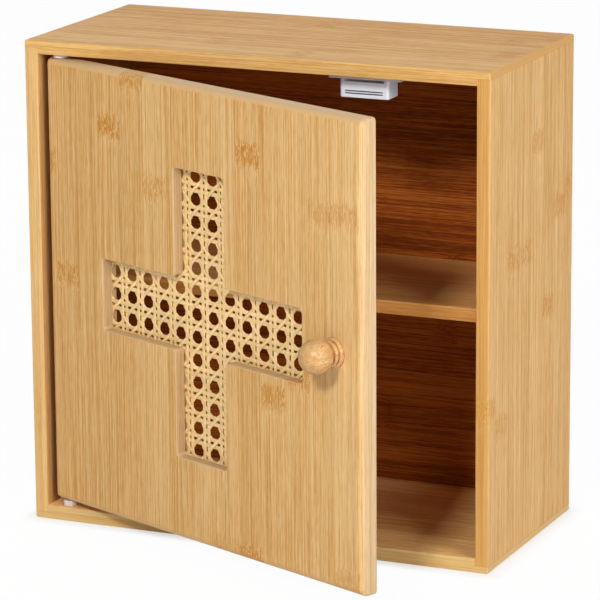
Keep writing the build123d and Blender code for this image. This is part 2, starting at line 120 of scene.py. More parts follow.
class CabinetBamboo(bpy.types.PropertyGroup):
    """Colours and strip sizes of the bamboo boards."""

    light: colour_setting(
        "Light grain", "Lightest colour of the grain on the boards' faces", srgb(227, 189, 133)
    )
    dark: colour_setting(
        "Dark grain", "Darkest colour of the grain on the boards' faces", srgb(193, 141, 74)
    )
    edge: colour_setting(
        "Light edge",
        "Colour that the edges of the top board and the left side board lean to",
        srgb(214, 180, 122),
    )
    warm_edge: colour_setting(
        "Warm edge",
        "Colour that the edges of the right side board and the shelf lean to",
        srgb(201, 153, 86),
    )
    low_edge: colour_setting(
        "Lower edge", "Colour that the edges of the bottom board lean to", srgb(178, 153, 103)
    )
    mark: colour_setting(
        "Node mark",
        "Colour of the mottled marks where a cane of bamboo had a joint",
        srgb(190, 127, 40),
    )
    # Paler and greyer than the faces: partly the sanded edges' own colour, partly painted sheen
    # on the door's rounded edges
    door_edge_and_sheen: colour_setting(
        "Door edge",
        "Colour that the sanded edges of the door and its cane frame lean to",
        srgb(194, 173, 144),
    )
    # Painted shade: this tint darkens the inner faces of the case, deepening from the front edge
    # inwards
    inside: colour_setting(
        "Painted inner shade",
        "Painted shade that deepens on the inner faces from the front edge of the case inwards",
        (0.44, 0.24, 0.12),
    )
    strip: length_setting(
        "Strip width", "Width of the strips that a board is glued up from", 20.8
    )
    door_strip: length_setting("Door strip width", "Width of the strips in the door", 21.75)
    # The back's dark brown is partly its own browner colour and partly painted shade of the
    # closed-in case
    back_light: colour_setting(
        "Light grain of the back", "Lightest colour of the back panel", srgb(186, 104, 36)
    )
    back_dark: colour_setting(
        "Dark grain of the back", "Darkest colour of the back panel", srgb(122, 54, 10)
    )


class CabinetCane(bpy.types.PropertyGroup):
    """Sizes and colours of the woven cane in the cross."""

    pitch_x: length_setting("Column pitch", "Distance between the columns of holes", 15.6)
    pitch_z: length_setting("Row pitch", "Distance between the rows of holes", 14.8)
    shift: length_setting(
        "Column shift", "From the middle of the cross to the nearest column of holes", 4.3
    )
    hole_x: length_setting("Hole width", "Width of the eight-sided holes", 8.8)
    hole_z: length_setting("Hole height", "Height of the eight-sided holes", 7.9)
    slit_x: length_setting(
        "Upright slit", "Gap between the two upright strands of a pair", 0.95
    )
    slit_z: length_setting("Level slit", "Gap between the two level strands of a pair", 1.4)
    thickness: length_setting("Strand thickness", "Thickness of one strand", 0.46)
    cross_span: length_setting("Cross span", "Length of each arm pair of the cross", 187)
    cross_arm: length_setting("Cross arm", "Width of each arm of the cross", 47)
    lap: length_setting("Lap", "How far the strands run on behind the cross's edge", 4.0)
    light: colour_setting(
        "Light cane", "Colour of the polished side of a strand", srgb(250, 213, 154)
    )
    shade: colour_setting(
        "Shaded cane", "Colour of the duller stretches of a strand", srgb(209, 174, 105)
    )


class CabinetStage(bpy.types.PropertyGroup):
    """The camera and the lamps."""

    camera_place: FloatVectorProperty(
        name="Camera place",
        description="Where the camera stands",
        subtype="TRANSLATION",
        default=(0.97011, -2.18768, 0.73663),
    )
    camera_turn: FloatVectorProperty(
        name="Camera turn",
        description="Which way the camera looks",
        subtype="EULER",
        default=tuple(math.radians(angle) for angle in (76.1286, 0.4012, 23.8397)),
    )
    lens: FloatProperty(
        name="Lens",
        description="Focal length on a sensor 36 mm wide, in millimetres",
        default=226.33,
    )
    ambient: FloatProperty(
        name="Ambient light",
        description="Strength of the even light from all around",
        default=0.13,
    )
    floor_glow: FloatProperty(
        name="Floor glow",
        description="Share of the floor's white that the shadow doesn't dim",
        subtype="FACTOR",
        default=0.965,
    )


class Graph:
    """Adds nodes to one node tree and links them."""

    def __init__(self, tree):
        self.tree = tree

    def node(self, kind, sockets=None, **settings):
        """A new node with its settings, and a value or a link for each named socket."""
        made = self.tree.nodes.new(kind)
        for name, value in settings.items():
            setattr(made, name, value)
        self.fill(made.inputs, sockets or {})
        return made

    def fill(self, inputs, values):
        """Links each named socket to another one, or sets its value."""
        for name, value in values.items():
            socket = inputs[name]
            if isinstance(value, bpy.types.NodeSocket):
                self.tree.links.new(value, socket)
            elif socket.type == "RGBA" and len(value) == 3:
                socket.default_value = (*value, 1)
            else:
                socket.default_value = value

    def math(self, operation, *values):
        """A sum, product or other function of numbers."""
        sockets = dict(enumerate(values))
        return self.node("ShaderNodeMath", sockets, operation=operation).outputs[0]

    def times(self, first, *others):
        """The product of numbers."""
        for other in others:
            first = self.math("MULTIPLY", first, other)
        return first

    def largest(self, first, *others):
        """The largest of numbers."""
        for other in others:
            first = self.math("MAXIMUM", first, other)
        return first

    def ramp(self, value, start, end, low=0.0, high=1.0):
        """A smooth step from low to high as the value goes from start to end."""
        sockets = {0: value, 1: start, 2: end, 3: low, 4: high}
        made = self.node("ShaderNodeMapRange", sockets, interpolation_type="SMOOTHSTEP")
        return made.outputs[0]

    def mix(self, share, first, second, blend="MIX"):
        """A mixture of two colours."""
        sockets = {0: share, 6: first, 7: second}
        made = self.node("ShaderNodeMix", sockets, data_type="RGBA", blend_type=blend)
        return made.outputs[2]

    def vector(self, x, y, z):
        """A vector from three numbers."""
        return self.node("ShaderNodeCombineXYZ", {0: x, 1: y, 2: z}).outputs[0]

    def noise(self, vector, scale, detail=2.0, roughness=0.5):
        """Cloudy noise from 0 to 1."""
        sockets = {"Vector": vector, "Scale": scale, "Detail": detail, "Roughness": roughness}
        return self.node("ShaderNodeTexNoise", sockets).outputs[0]

    def streaks(self, across, along, depth, fineness, length, detail=2.0, roughness=0.5):
        """Noise drawn out along the grain: so many streaks, and so many lengths, per metre."""
        finely = (self.times(across, fineness), self.times(depth, fineness))
        return self.noise(self.vector(*finely, self.times(along, length)), 1.0, detail, roughness)

    def sway(self, noise, weight, base):
        """The base plus the weight times how far a noise lies above its middle."""
        return self.math("MULTIPLY_ADD", self.math("SUBTRACT", noise, 0.5), weight, base)

    def clamp(self, value):
        """A number held between 0 and 1."""
        return self.node("ShaderNodeClamp", {0: value}).outputs[0]

    def split(self, vector):
        """The X, Y and Z of a vector."""
        return self.node("ShaderNodeSeparateXYZ", {0: vector}).outputs

    def shared(self, name, make, sockets):
        """The outputs of a shared node group, which is made the first time it is asked for."""
        if name not in bpy.data.node_groups:
            make(name)
        tree = bpy.data.node_groups[name]
        return self.node("ShaderNodeGroup", sockets, node_tree=tree).outputs

    def seen_white(self):
        """1 on the rays of the camera, of gloss and of glass, and 0 on all others."""
        rays = self.node("ShaderNodeLightPath").outputs
        kinds = ("Is Camera Ray", "Is Glossy Ray", "Is Transmission Ray")
        return self.largest(*(rays[kind] for kind in kinds))

    def relief(self, height, strength, distance):
        """A normal that follows a height."""
        sockets = {"Height": height, "Strength": strength, "Distance": distance}
        return self.node("ShaderNodeBump", sockets).outputs[0]


def new_group(name, inputs, outputs):
    """The graph, entry and exit of a new group; its sockets are colours where named so."""
    tree = bpy.data.node_groups.new(name, "ShaderNodeTree")
    for in_out, sockets in (("INPUT", inputs), ("OUTPUT", outputs)):
        for socket in sockets:
            kind = "NodeSocketColor" if socket.endswith("Color") else "NodeSocketFloat"
            tree.interface.new_socket(socket, in_out=in_out, socket_type=kind)
    entry = tree.nodes.new("NodeGroupInput").outputs
    leave = tree.nodes.new("NodeGroupOutput").inputs
    return Graph(tree), entry, leave


SEAM_SHARE = 0.022  # share of a strip's width over which the seam at its side fades


def make_strips(name):
    """Group: which strip of a glued-up board a point lies on, and the seams between strips."""
    inputs = ("Across", "First Edge", "Strip Width", "Seed")
    outputs = ("Strip", "Tone", "Mark", "Mark Share", "Seam")
    graph, entry, leave = new_group(name, inputs, outputs)
    from_edge = graph.math("SUBTRACT", entry["Across"], entry["First Edge"])
    in_strips = graph.math("DIVIDE", from_edge, entry["Strip Width"])
    strip = graph.math("FLOOR", in_strips)
    seeded = graph.math("ADD", strip, entry["Seed"])
    chance = graph.node("ShaderNodeTexWhiteNoise", {"W": seeded}, noise_dimensions="1D")
    shares = graph.node("ShaderNodeSeparateColor", {0: chance.outputs["Color"]}).outputs
    seam = graph.ramp(graph.math("PINGPONG", in_strips, 0.5), 0.0, SEAM_SHARE, 1.0, 0.0)
    graph.fill(leave, dict(zip(outputs, (strip, *shares, seam))))


def make_mark(name):
    """Group: the ragged band that a joint of the living cane leaves on a strip."""
    inputs = ("Along", "Place", "Crown", "Tooth")
    graph, entry, leave = new_group(name, inputs, ("Band", "Below", "Near"))
    crown_height, tooth_length, top_above_place = 5 * MM, 9 * MM, 6 * MM
    from_place = graph.math("SUBTRACT", entry["Along"], entry["Place"])
    offset = graph.math("SUBTRACT", from_place, top_above_place)
    above = graph.math("MULTIPLY_ADD", entry["Crown"], -crown_height, offset)
    top = graph.ramp(above, -1 * MM, 1 * MM, 1.0, 0.0)
    under = graph.math("MULTIPLY_ADD", entry["Tooth"], tooth_length, offset)
    bottom = graph.ramp(under, -9.5 * MM, -6.5 * MM)
    fade = graph.ramp(offset, -17 * MM, -8 * MM, 0.3, 1.0)
    start = graph.ramp(offset, -9 * MM, -4 * MM, 1.0, 0.0)
    end = graph.ramp(offset, -22 * MM, -12 * MM)
    distance = graph.math("ABSOLUTE", graph.math("ADD", offset, 5 * MM))
    masks = {
        "Band": graph.times(top, bottom, fade),
        "Below": graph.times(start, end),
        "Near": graph.ramp(distance, 6 * MM, 20 * MM, 1.0, 0.0),
    }
    graph.fill(leave, masks)


# Streaks in the grain: weight in its shade, streaks across a metre, lengths along a metre,
# octaves of detail, and roughness
GRAIN_STREAKS = {
    "broad": (0.15, 150, 5, 2, 0.5),
    "medium": (0.2, 480, 9, 2, 0.6),
    "fine": (2.1, 1150, 12, 2, 0.7),
    "hair": (0.9, 1500, 130, 1, 0.5),
}
PATCH_WEIGHT, PATCHES_PER_METRE = 0.3, 22
THREAD_WEIGHT = -0.26
TONE_WEIGHT = 0.5
GRAIN_MIDDLE, END_PALENESS_AND_SHEEN = 0.53, 0.12  # the shade that nothing sways, and what an end adds: partly the end grain's own paleness, partly painted sheen on rounded ends
END_CALM_AND_SHEEN, EDGE_CALM = 0.7, 0.4  # share of the grain's contrast that is lost there; on the ends partly as painted sheen
FACE_DEPTH, EDGE_DEPTH = 0.08, 1.6  # share of the depth that the grain follows there
BEND = 3 * MM  # how far the fibres drift, and how far a node mark bends them
GLINT_SHARE, SEAM_SHADE, PLY_SHADE = 0.9, 0.12, 0.3
STAIN_DEPTH, LINE_DEPTH = 0.5, 0.8  # how far they sink, as shares of the grain's relief
COOL_TINT, WARM_TINT = (0.95, 1.0, 1.06), (1.05, 1.0, 0.92)
DARK_LAYER, LIGHT_LAYER = (0.86, 0.77, 0.62), (1.08, 1.12, 1.2)
DARK_LINE, LIGHT_LINE = (0.82, 0.76, 0.66), (1.1, 1.12, 1.16)


def make_bamboo(name):
    """Group: straight bamboo grain with node marks, seams and the line between two plies."""
    inputs = ("Across", "Along", "Depth", "Edge", "End", "Joint", "Seam", "Tone", "Contrast")
    inputs += ("First Mark", "Second Mark", "Mark Share", "Mark Color")
    inputs += ("Light Color", "Dark Color", "Edge Color")
    graph, entry, leave = new_group(name, inputs, ("Color", "Roughness", "Height"))
    across, along, edge, end = (entry[key] for key in ("Across", "Along", "Edge", "End"))
    strength = entry["Mark Share"]
    depth_share = graph.math("MULTIPLY_ADD", edge, EDGE_DEPTH, FACE_DEPTH)
    depth = graph.times(entry["Depth"], depth_share)

    sockets = {
        "Along": along,
        "Crown": graph.ramp(graph.streaks(across, along, depth, 1000, 8, 2), 0.3, 0.7),
        "Tooth": graph.ramp(graph.streaks(across, along, depth, 760, 12, 2), 0.3, 0.7),
    }
    marks = [
        graph.shared("Node mark", make_mark, {**sockets, "Place": entry[place]})
        for place in ("First Mark", "Second Mark")
    ]
    band, below, near = (
        graph.largest(*(mark[output] for mark in marks))
        for output in ("Band", "Below", "Near")
    )

    place = graph.vector(across, depth, along)
    pull = graph.math("SUBTRACT", graph.noise(place, 120, 2), 0.5)
    bend = graph.times(pull, near, BEND)
    drift = graph.streaks(across, along, depth, 60, 3.5, 1)
    fibre = graph.math("ADD", graph.math("MULTIPLY_ADD", drift, BEND, across), bend)

    shade = graph.sway(entry["Tone"], TONE_WEIGHT, 0.0)
    streaks = {}
    for kind, (weight, *numbers) in GRAIN_STREAKS.items():
        streaks[kind] = graph.streaks(fibre, along, depth, *numbers)
        shade = graph.sway(streaks[kind], weight, shade)
    shade = graph.sway(graph.noise(place, PATCHES_PER_METRE, 2), PATCH_WEIGHT, shade)
    thread = graph.ramp(graph.streaks(fibre, along, depth, 900, 6, 1), 0.55, 0.64)
    shade = graph.math("MULTIPLY_ADD", thread, THREAD_WEIGHT, shade)
    # Ends and edges lose contrast and ends grow paler, partly as painted sheen on rounded ends
    # such as the door's top
    calmed = graph.math("MULTIPLY_ADD", end, END_CALM_AND_SHEEN, graph.times(edge, EDGE_CALM))
    kept = graph.times(graph.math("SUBTRACT", 1.0, calmed), entry["Contrast"])
    paler = graph.math("MULTIPLY_ADD", end, END_PALENESS_AND_SHEEN, GRAIN_MIDDLE)
    clear = graph.clamp(graph.math("MULTIPLY_ADD", shade, kept, paler))
    grain = graph.mix(clear, entry["Dark Color"], entry["Light Color"])
    warmth = graph.ramp(graph.streaks(fibre, along, depth, 700, 6, 2, 0.6), 0.25, 0.75)
    face = graph.mix(1.0, grain, graph.mix(warmth, COOL_TINT, WARM_TINT), "MULTIPLY")
    layers = graph.ramp(graph.streaks(entry["Depth"], along, 0.0, 480, 3, 3, 0.8), 0.36, 0.64)
    layered = graph.mix(layers, DARK_LAYER, LIGHT_LAYER)
    edge_grain = graph.mix(1.0, layered, graph.mix(clear, DARK_LINE, LIGHT_LINE), "MULTIPLY")
    edge_colour = graph.mix(1.0, entry["Edge Color"], edge_grain, "MULTIPLY")
    edged = graph.mix(edge, face, edge_colour)

    dashes = graph.streaks(fibre, along, depth, 1300, 340, 2, 0.6)
    strokes = graph.streaks(fibre, along, depth, 900, 90, 2, 0.6)
    light_part = graph.ramp(dashes, 0.52, 0.62, 0.0, 0.7)
    dark_part = graph.ramp(strokes, 0.4, 0.58, 1.0, 0.5)
    stain = graph.times(dark_part, graph.math("SUBTRACT", 1.0, light_part), band, strength)
    marked = graph.mix(stain, edged, entry["Mark Color"])
    glints = graph.times(graph.largest(band, below), light_part, GLINT_SHARE, strength)
    flecked = graph.mix(glints, marked, entry["Light Color"])

    from_ply = graph.math("ABSOLUTE", entry["Depth"])
    ply = graph.ramp(from_ply, 0.05 * MM, 0.5 * MM, PLY_SHADE, 0.0)
    seam = graph.times(entry["Seam"], SEAM_SHADE)
    line = graph.largest(graph.times(ply, edge), seam, entry["Joint"])
    raised = graph.math("MULTIPLY_ADD", stain, -STAIN_DEPTH, streaks["fine"])
    surface = {
        "Color": graph.mix(line, flecked, entry["Mark Color"]),
        "Roughness": graph.ramp(streaks["medium"], 0.2, 0.8, 0.5, 0.65),
        "Height": graph.math("MULTIPLY_ADD", line, -LINE_DEPTH, raised),
    }
    graph.fill(leave, surface)


CLOUDS_PER_METRE = 55


def make_speckle(name):
    """Group: fine even speckle that breaks up the gloss of a moulded or plated surface."""
    inputs = ("Color", "Roughness", "Fineness", "Spread")
    graph, entry, leave = new_group(name, inputs, ("Color", "Roughness", "Height"))
    place = graph.node("ShaderNodeTexCoord").outputs["Object"]
    grains = graph.noise(place, entry["Fineness"], 3)
    clouds = graph.noise(place, CLOUDS_PER_METRE, 2)
    above_middle = graph.math("SUBTRACT", graph.math("ADD", grains, clouds), 1.0)
    spread = graph.times(above_middle, entry["Spread"])
    sockets = {"Value": graph.math("ADD", spread, 1.0), "Color": entry["Color"]}
    surface = {
        "Color": graph.node("ShaderNodeHueSaturation", sockets).outputs[0],
        "Roughness": graph.math("MULTIPLY_ADD", spread, 0.8, entry["Roughness"]),
        "Height": grains,
    }
    graph.fill(leave, surface)


def new_material(name):
    """A material with a bare Principled shader, and its graph."""
    material = bpy.data.materials.new(name)
    material.use_nodes = True
    material.node_tree.nodes.clear()
    graph = Graph(material.node_tree)
    shader = graph.node("ShaderNodeBsdfPrincipled")
    graph.node("ShaderNodeOutputMaterial", {"Surface": shader.outputs[0]})
    return material, graph, shader


NO_MARK = 400  # a place beyond the end of every board, in millimetres


def strip_table(graph, strip, rows):
    """Looks up a strip's row: its marks' places as shares, its tone and its marks' strength."""
    ramp = graph.node("ShaderNodeValToRGB")
    table = ramp.color_ramp
    table.interpolation = "CONSTANT"
    table.elements.remove(table.elements[-1])
    for number, (tone, strength, *places) in enumerate(rows):
        first, second = (*places, NO_MARK, NO_MARK)[:2]
        start = number / len(rows)
        stop = table.elements.new(start) if number else table.elements[0]
        stop.position = start
        stop.color = (first / NO_MARK, second / NO_MARK, tone, strength)
    middle = graph.math("DIVIDE", graph.math("ADD", strip, 0.5), len(rows))
    graph.fill(ramp.inputs, {0: middle})
    shares = graph.node("ShaderNodeSeparateColor", {0: ramp.outputs["Color"]}).outputs
    return (*(shares[index] for index in range(3)), ramp.outputs["Alpha"])


class Board:
    """How the grain lies on one board, how its edges and ends are tinted, and where its inner
    face takes painted shade.
    """

    rows = None
    seed = 0.0
    door = False
    contrast = 1.0
    tint = (1, 1, 1)
    edge_colour = "edge"
    edge_tint = 0.6
    end_tint = 0.0
    joint = 0.0
    painted_shade_side = 0

    def __init__(self, across, along, depth, first_edge, **settings):
        self.across, self.along, self.depth = across, along, depth
        self.first_edge = first_edge
        vars(self).update(settings)

    def span(self, node, axis):
        """Where a CAD node starts and ends along one of the board's axes."""
        low, high = door_corners(node) if self.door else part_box(node)
        return low["XYZ".index(axis)], high["XYZ".index(axis)]


def in_door_frame(graph, place):
    """A place in the door's own frame."""
    sockets = {0: place, 1: door_foot, 2: Euler((0, 0, -open_angle))}
    return graph.node("ShaderNodeMapping", sockets, vector_type="TEXTURE").outputs[0]


def board_places(graph, board, node):
    """A point's place on a board, and its share of edge, end and joint, then of painted shade on
    its inner face.
    """
    coordinates = graph.node("ShaderNodeTexCoord").outputs
    place, normal = coordinates["Object"], coordinates["Normal"]
    if board.door:
        place = in_door_frame(graph, place)
        sockets = {0: normal, 2: Euler((0, 0, open_angle))}
        normal = graph.node("ShaderNodeMapping", sockets, vector_type="VECTOR").outputs[0]
    point, facing = graph.split(place), graph.split(normal)
    along_start, along_end = board.span(node, board.along)
    across = graph.math("SUBTRACT", point[board.across], board.span(node, board.across)[0])
    along = graph.math("SUBTRACT", point[board.along], along_start)
    depth = graph.math("SUBTRACT", point[board.depth], sum(board.span(node, board.depth)) / 2)
    flat = graph.math("ABSOLUTE", facing[board.depth])
    to_grain = graph.math("ABSOLUTE", facing[board.along])
    to_end = graph.math("PINGPONG", along, (along_end - along_start) / 2)
    line = graph.ramp(to_end, 0.15 * MM, 0.6 * MM, board.joint, 0.0)
    tinted = graph.ramp(to_grain, 0.35, 0.9, 0.0, board.end_tint)
    places = {
        "Across": across,
        "Along": along,
        "Depth": depth,
        "Edge": graph.ramp(flat, 0.5, 0.97, board.edge_tint, 0.0),
        "End": graph.ramp(to_grain, 0.15, 0.5),
        "Joint": graph.largest(line, tinted),
    }
    # Painted shade on the inner face, from just before the case's front edge to 22 mm behind it
    inner = 0.0
    if board.painted_shade_side:
        inwards = graph.times(facing[board.depth], board.painted_shade_side)
        front = board.span(node, "Y")[0]
        shade_deepening = graph.ramp(point["Y"], front - 6 * MM, front + 22 * MM)
        inner = graph.times(graph.ramp(inwards, 0.35, 0.9), shade_deepening)
    return places, inner


def bamboo_material(name, node, settings, colours, coat=0.03):
    """Lacquered bamboo, laid out for one board."""
    material, graph, shader = new_material(name)
    board = BOARDS[node]
    places, inner = board_places(graph, board, node)
    sockets = {
        "Across": places["Across"],
        "First Edge": board.first_edge,
        "Strip Width": settings.door_strip if board.door else settings.strip,
        "Seed": board.seed,
    }
    strips = graph.shared("Bamboo strips", make_strips, sockets)
    if board.rows:
        shares = strip_table(graph, strips["Strip"], board.rows)
        first, second = (graph.times(share, NO_MARK * MM) for share in shares[:2])
        tone, strength = shares[2:]
    else:
        first = graph.times(strips["Mark"], NO_MARK * MM)
        second = 2 * NO_MARK * MM
        tone, strength = strips["Tone"], strips["Mark Share"]
    light, dark, edge_colour, mark = colours
    sockets = {
        **places,
        "Tone": tone,
        "First Mark": first,
        "Second Mark": second,
        "Mark Share": strength,
        "Seam": strips["Seam"],
        "Light Color": light,
        "Dark Color": dark,
        "Edge Color": edge_colour,
        "Mark Color": mark,
        "Contrast": board.contrast,
    }
    grain = graph.shared("Bamboo grain", make_bamboo, sockets)
    # Each board's tint multiplies its grain; on the bottom board and the shelf it is painted
    # light
    colour = graph.mix(1.0, grain["Color"], board.tint, "MULTIPLY")
    # The base colour takes the painted inner shade on the inner faces behind the front edge
    surface = {
        "Base Color": graph.mix(inner, colour, settings.inside, "MULTIPLY"),
        "Roughness": grain["Roughness"],
        "Normal": graph.relief(grain["Height"], 0.12, 0.1 * MM),
        "Specular IOR Level": 0.12,
        "Coat Weight": coat,
        "Coat Roughness": 0.3,
    }
    graph.fill(shader.inputs, surface)
    return material


def speckled_material(name, colour, roughness, fineness, spread, **values):
    """A moulded or plated finish with fine speckle."""
    material, graph, shader = new_material(name)
    sockets = {"Color": colour, "Roughness": roughness, "Fineness": fineness, "Spread": spread}
    speckle = graph.shared("Fine speckle", make_speckle, sockets)
    surface = {socket.replace("_", " "): value for socket, value in values.items()}
    surface["Base Color"] = speckle["Color"]
    surface["Roughness"] = speckle["Roughness"]
    surface["Normal"] = graph.relief(speckle["Height"], 0.05, 0.05 * MM)
    graph.fill(shader.inputs, surface)
    return material


def add_object(name, data):
    """An object with that mesh, lamp or camera, in the scene."""
    made = bpy.data.objects.new(name, data)
    bpy.context.scene.collection.objects.link(made)
    return made


def add_piece(name, shape, material):
    """An object made from a bmesh, which is freed, with one material."""
    mesh = bpy.data.meshes.new(name)
    shape.to_mesh(mesh)
    shape.free()
    mesh.materials.append(material)
    return add_object(name, mesh)


def skin(shape, rings):
    """Joins each ring of vertices to the next one with a band of faces."""
    for first, second in zip(rings, rings[1:]):
        for index in range(len(first)):
            after = (index + 1) % len(first)
            shape.faces.new((first[index], first[after], second[after], second[index]))


def finish(material, *nodes):
    """Gives CAD nodes their material."""
    for node in nodes:
        materials = frame["nodes"][node].data.materials
        materials.clear()
        materials.append(material)


# Rows of the strips, from the first edge on: tone from dark 0 to light 1, strength of the
# node marks, then their places along the grain, in millimetres from the board's low end
DOOR_ROWS = (
    (0.60, 0.9, 226),
    (0.35, 0.9, 154),
    (0.35, 0.0),
    (0.40, 1.0, 257),
    (0.35, 0.8, 291),
    (0.75, 0.7, 224),
    (0.35, 0.0),
    (0.60, 0.0),
    (0.70, 0.4, 3),
    (0.40, 1.0, 258, 1),
    (0.55, 0.9, 109),
    (0.60, 0.8, 126),
    (0.65, 0.5, 231),
    (0.90, 0.5, 233, 4),
    (0.95, 0.0),
)
SIDE_ROWS = (
    (0.70, 0.6, 100),
    (0.55, 0.6, 85),
    (0.50, 0.7, 189),
    (0.45, 0.6, 187),
    (0.70, 0.6, 255),
    (0.35, 0.7, 144),
    (0.45, 0.7, 206),
    (0.30, 0.7, 216),
)
TOP_ROWS = (
    (0.55, 0.0),
    (0.90, 0.6, 184),
    (0.60, 0.6, 116),
    (0.45, 0.6, 306),
    (0.60, 0.0),
    (0.40, 0.6, 294),
    (0.20, 0.6, 158),
    (0.30, 0.0),
)

# Each board's axes across, along and through its grain, and where its first strip starts,
# measured from the board's low side
BOARDS = {
    "top_panel": Board(
        "Y", "X", "Z", -11.8 * MM,
        rows=TOP_ROWS, tint=(0.97, 0.9, 0.77), contrast=1.4, end_tint=0.2, painted_shade_side=-1,
    ),
    # The bottom board's strong tint is painted light: it brightens the face that the lamps leave
    # too dark inside the case
    "bottom_panel": Board(
        "Y", "X", "Z", -6 * MM,
        seed=31.0, tint=(1.36, 1.36, 1.34), edge_colour="low_edge", edge_tint=0.85,
    ),
    "left_side_panel": Board("Y", "Z", "X", -8 * MM, seed=57.0, joint=0.45, painted_shade_side=1),
    "right_side_panel": Board(
        "Y", "Z", "X", -9.8 * MM,
        rows=SIDE_ROWS, edge_colour="warm_edge", edge_tint=0.85, joint=0.45, painted_shade_side=-1,
    ),
    # The shelf's tint is painted light: warm bounced light that brightens and reddens the shaded
    # shelf
    "shelf": Board(
        "Y", "X", "Z", -5 * MM, seed=83.0, tint=(1.28, 1.08, 0.9), edge_colour="warm_edge"
    ),
    "back_panel": Board("Z", "X", "Y", -3 * MM, seed=12.0, contrast=1.3),
    "door_panel": Board(
        "X", "Z", "Y", -13.15 * MM, rows=DOOR_ROWS, edge_colour="door_edge_and_sheen", door=True
    ),
    "cane_retainer": Board(
        "X", "Z", "Y", -5 * MM, seed=71.0, edge_colour="door_edge_and_sheen", door=True
    ),
}


def finish_boards(wood, nodes):
    """Gives each board its own bamboo."""
    for node in nodes:
        edge_colour = getattr(wood, BOARDS[node].edge_colour)
        name = "bamboo of the " + node.replace("_", " ")
        colours = (wood.light, wood.dark, edge_colour, wood.mark)
        finish(bamboo_material(name, node, wood, colours), node)


class CABINET_OT_carcass(bpy.types.Operator):
    """Finish the case, its shelf and its back panel"""

    bl_idname = "cabinet.carcass"
    bl_label = "Case boards"

    def execute(self, context):
        wood = context.scene.cabinet_bamboo
        sides = ("left_side_panel", "right_side_panel")
        finish_boards(wood, ("top_panel", "bottom_panel", *sides, "shelf"))
        # Brown bamboo for the back: partly its own colour, partly painted shade
        colours = (wood.back_light, wood.back_dark, (1, 1, 1), wood.back_dark)
        brown = bamboo_material("brown bamboo with painted shade", "back_panel", wood, colours, coat=0.0)
        finish(brown, "back_panel")
        return {"FINISHED"}


class CABINET_OT_door(bpy.types.Operator):
    """Finish the door and the frame behind its cane"""

    bl_idname = "cabinet.door"
    bl_label = "Door"

    def execute(self, context):
        finish_boards(context.scene.cabinet_bamboo, ("door_panel", "cane_retainer"))
        return {"FINISHED"}


class Pairs:
    """Strands laid side by side in pairs, between the rows or the columns of holes."""

    def __init__(self, pitch, hole, slit, shift=0.0):
        half = (pitch - hole) / 2
        self.pitch = pitch
        self.first = shift + pitch / 2
        self.middle = (half + slit / 2) / 2
        self.width = half - slit / 2

    def crossing(self, place, rise):
        """Height of a strand that crosses a pair, over one of the two and under the other."""
        offset = place - self.first
        share = (offset - self.pitch * round(offset / self.pitch)) / (2 * self.middle)
        return rise * math.sin(math.pi * share) if abs(share) < 1 else 0.0


def cross_reach(cane, offset):
    """How far a straight strand at that offset runs from the middle on each side, or 0."""
    half_span = cane.cross_span / 2 + cane.lap
    half_arm = cane.cross_arm / 2 + cane.lap
    if abs(offset) <= half_arm:
        return half_span
    return half_arm if abs(offset) <= half_span else 0.0


def on_cross(cane, x, z):
    """True where a point lies on the cross, with its lap."""
    inner, outer = sorted((abs(x), abs(z)))
    return outer <= cross_reach(cane, inner)


STREAKS_ALONG = 10  # lengths of streak along a metre of strand
# Section of a strand: shares of its width across, and of its thickness outwards
SECTION = (
    (-0.50, -0.10),
    (-0.36, 0.34),
    (0.0, 0.50),
    (0.36, 0.34),
    (0.50, -0.10),
    (0.30, -0.50),
    (-0.30, -0.50),
)


def ribbon(shape, points, width, thickness, number, layer):
    """A flat strand with a rounded face along points of (x, z, height)."""
    rings = []
    travelled = 0.0
    for step, point in enumerate(points):
        before = points[max(step - 1, 0)]
        after = points[min(step + 1, len(points) - 1)]
        along = Vector((after[0] - before[0], after[1] - before[1])).normalized()
        if step:
            travelled += math.dist(point[:2], before[:2])
        ring = []
        for across, out in SECTION:
            x = point[0] + along.y * across * width
            z = point[1] - along.x * across * width
            vertex = shape.verts.new((x, -(point[2] + out * thickness), z))
            vertex[layer] = (across, travelled * STREAKS_ALONG, number)
            ring.append(vertex)
        rings.append(ring)
    skin(shape, rings)
    shape.faces.new(rings[0][::-1])
    shape.faces.new(rings[-1])


STRAND_STEP = 0.9 * MM
STRAND_PAIRS = range(-8, 9)
DIAGONALS = range(-14, 15)
DIAGONAL_DROP = 0.25 * MM  # how far the diagonals lie below the middles between the holes
WAVE_STEEPNESS = 1.7  # above 1, a diagonal lies flat for a while at the top of its wave
UPRIGHT_LEAN = 0.2 * MM  # how far two upright strands lean apart and back
UPRIGHT_WANDER = 0.12 * MM
WANDER = 0.1 * MM


def straight_strands(cane, rng, own, crossed, rise, wander, lean):
    """Strands in pairs, as their places across, along and outwards, and their width."""
    strands = []
    for number in STRAND_PAIRS:
        pair = own.first + number * own.pitch
        for side in (-1, 1):
            reach = cross_reach(cane, pair + side * own.middle)
            if reach:
                place = pair + rng.uniform(-wander, wander)
                count = max(2, round(2 * reach / STRAND_STEP))
                points = []
                for index in range(count + 1):
                    along = -reach + 2 * reach * index / count
                    spread = own.middle - lean * math.sin(2 * math.pi * along / crossed.pitch)
                    height = crossed.crossing(along, side * rise)
                    points.append((place + side * spread, along, height))
                strands.append((points, own.width))
    return strands


